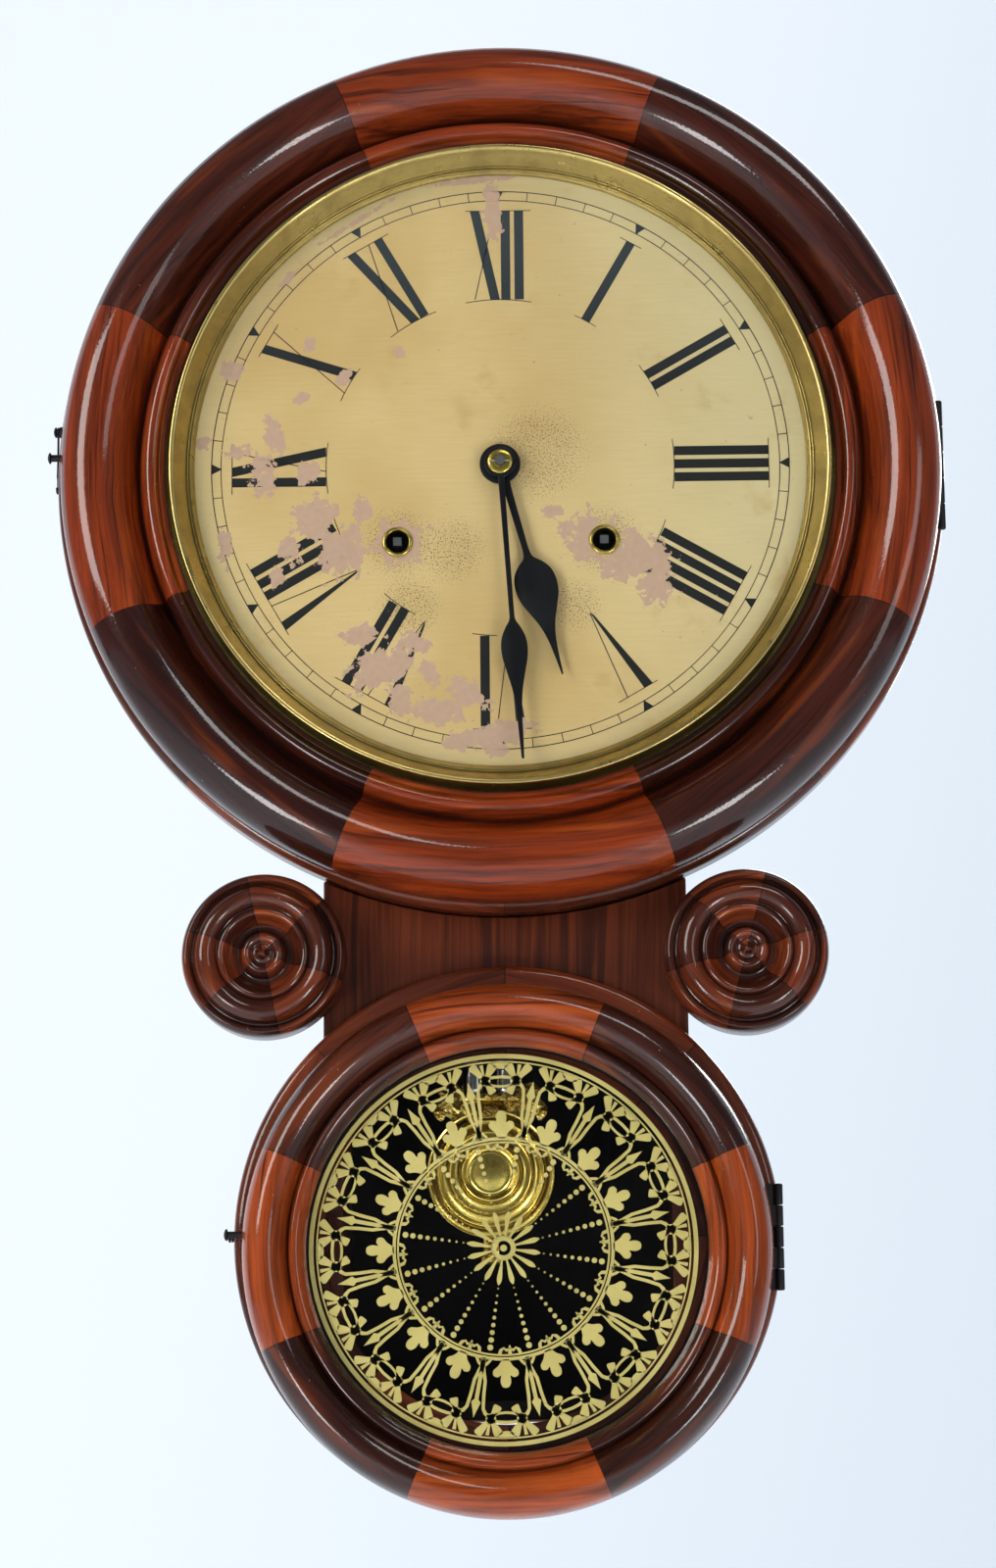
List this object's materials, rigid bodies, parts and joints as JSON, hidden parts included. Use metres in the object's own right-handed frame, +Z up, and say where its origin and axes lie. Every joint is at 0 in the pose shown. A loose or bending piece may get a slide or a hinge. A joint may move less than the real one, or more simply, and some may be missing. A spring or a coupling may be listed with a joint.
{
  "type": "figure-eight wall clock",
  "caption": "Pendulum wall clock with two hinged ring doors, Roman dial, turned side roundels, strike movement and gong in a narrow trunk.",
  "frame": {"origin": "on the back face of the backboard, on the axis of the dial", "axes": "+X to the right seen from the front, +Z up, +Y into the wall, so the front faces -Y"},
  "size_m": [0.3758, 0.1182, 0.617],
  "materials": {
    "pine": "oiled softwood, dusty with age",
    "dark_rosewood": "dark red-brown veneer under shellac",
    "segmented_rosewood": "light and dark segments under a glossy lacquer",
    "black_iron": "blackened and lightly oiled",
    "dial_paint": "aged cream paint, worn in patches, with black numerals",
    "polished_brass": "polished, with a warm patina",
    "movement_brass": "satin, aged",
    "steel": "brushed",
    "blued_steel": "blue-black",
    "clear_glass": "clear; the lower pane carries a gilt stencil on its back",
    "silvered": "silvery, like mercury in glass"
  },
  "bodies": {
    "case": {"backboard": "pine", "trunk_side_left": "dark_rosewood", "trunk_side_right": "dark_rosewood", "trunk_top": "pine", "trunk_bottom": "pine", "hanger_plate": "black_iron", "upper_base_ring": "dark_rosewood", "lower_base_ring": "dark_rosewood", "waist_panel": "dark_rosewood", "roundel_block_left": "dark_rosewood", "roundel_left": "segmented_rosewood", "roundel_block_right": "dark_rosewood", "roundel_right": "segmented_rosewood", "dial": "dial_paint", "winding_grommet_strike": "polished_brass", "winding_grommet_time": "polished_brass", "upper_hinge_case_leaf": "black_iron", "lower_hinge_case_leaf": "black_iron", "upper_catch_screw": "black_iron", "lower_catch_screw": "black_iron", "back_plate": "movement_brass", "front_plate": "movement_brass", "pillar_1": "movement_brass", "pillar_2": "movement_brass", "pillar_3": "movement_brass", "pillar_4": "movement_brass", "mainspring_strike": "steel", "mainspring_time": "steel", "gong_base": "black_iron", "gong_coil": "steel"},
    "upper_door": {"upper_door_ring": "segmented_rosewood", "sight_ring": "polished_brass", "upper_glass": "clear_glass", "upper_catch_pin": "black_iron", "upper_hinge_door_leaf": "black_iron"},
    "lower_door": {"lower_door_ring": "segmented_rosewood", "tablet_glass": "clear_glass", "tablet_retainer": "pine", "lower_catch_pin": "black_iron", "lower_hinge_door_leaf": "black_iron"},
    "upper_hook": {"upper_catch_hook": "black_iron"},
    "lower_hook": {"lower_catch_hook": "black_iron"},
    "minute_train": {"centre_arbor": "steel", "minute_hand": "blued_steel", "hand_washer": "polished_brass", "taper_pin": "steel"},
    "minute_wheel_set": {"minute_wheel": "movement_brass"},
    "hour_train": {"hour_wheel": "movement_brass", "hour_hand": "blued_steel"},
    "strike_winding": {"winding_arbor_strike": "steel"},
    "time_winding": {"winding_arbor_time": "steel"},
    "escape": {"escape_wheel": "movement_brass"},
    "verge_set": {"verge": "steel"},
    "strike_hammer": {"hammer": "black_iron"},
    "pendulum": {"pendulum_rod": "steel", "pendulum_frame": "polished_brass", "pendulum_cylinder_left": "silvered", "pendulum_cylinder_right": "silvered", "pendulum_bob": "polished_brass"},
    "nut": {"rating_nut": "polished_brass"}
  },
  "joints": [
    {"name": "upper_door_hinge", "type": "hinge", "parent": "case", "child": "upper_door", "pos_m": [0.184, -0.09225, 0.00025], "axis": [0, 0, 1], "range_deg": [0, 110]},
    {"name": "lower_door_hinge", "type": "hinge", "parent": "case", "child": "lower_door", "pos_m": [0.1092, -0.09225, -0.32025], "axis": [0, 0, 1], "range_deg": [0, 110]},
    {"name": "upper_hook_pivot", "type": "hinge", "parent": "case", "child": "upper_hook", "pos_m": [-0.18735, -0.083, 0.022], "axis": [-1, 0, 0], "range_deg": [0, 41]},
    {"name": "lower_hook_pivot", "type": "hinge", "parent": "case", "child": "lower_hook", "pos_m": [-0.1114, -0.084, -0.3178], "axis": [1, 0, 0], "range_deg": [0, 174]},
    {"name": "minute_hand_arbor", "type": "hinge", "parent": "case", "child": "minute_train", "pos_m": [0, -0.1, 0], "axis": [0, 1, 0], "continuous": true},
    {"name": "minute_wheel_stud", "type": "hinge", "parent": "case", "child": "minute_wheel_set", "pos_m": [0.01358, -0.0712, 0.01358], "axis": [0, 1, 0], "continuous": true},
    {"name": "hour_hand_pipe", "type": "hinge", "parent": "case", "child": "hour_train", "pos_m": [0, -0.09, 0], "axis": [0, 1, 0], "continuous": true},
    {"name": "strike_winding_arbor", "type": "hinge", "parent": "case", "child": "strike_winding", "pos_m": [-0.043, -0.09, -0.0323], "axis": [0, 1, 0], "continuous": true},
    {"name": "time_winding_arbor", "type": "hinge", "parent": "case", "child": "time_winding", "pos_m": [0.043, -0.09, -0.0323], "axis": [0, 1, 0], "continuous": true},
    {"name": "escape_arbor", "type": "hinge", "parent": "case", "child": "escape", "pos_m": [-0.007, -0.0547, 0.038], "axis": [0, 1, 0], "continuous": true},
    {"name": "verge_stud", "type": "hinge", "parent": "case", "child": "verge_set", "pos_m": [-0.007, -0.055, 0.06], "axis": [0, 1, 0], "range_deg": [-3.5, 3.5]},
    {"name": "pendulum_swing", "type": "hinge", "parent": "case", "child": "pendulum", "pos_m": [-0.007, -0.062, 0.06], "axis": [0, 1, 0], "range_deg": [-3.5, 3.5]},
    {"name": "hammer_arbor", "type": "hinge", "parent": "case", "child": "strike_hammer", "pos_m": [-0.012, -0.047, -0.066], "axis": [0, 1, 0], "range_deg": [0, 20]},
    {"name": "rating_nut_screw", "type": "hinge", "parent": "pendulum", "child": "nut", "pos_m": [-0.007, -0.062, -0.325], "axis": [0, 0, 1], "continuous": true}
  ],
  "couplings": [
    {"joint": "minute_wheel_stud", "follows": "minute_hand_arbor", "ratio": -0.33333},
    {"joint": "hour_hand_pipe", "follows": "minute_hand_arbor", "ratio": 0.083333},
    {"joint": "verge_stud", "follows": "pendulum_swing", "ratio": 1}
  ]
}
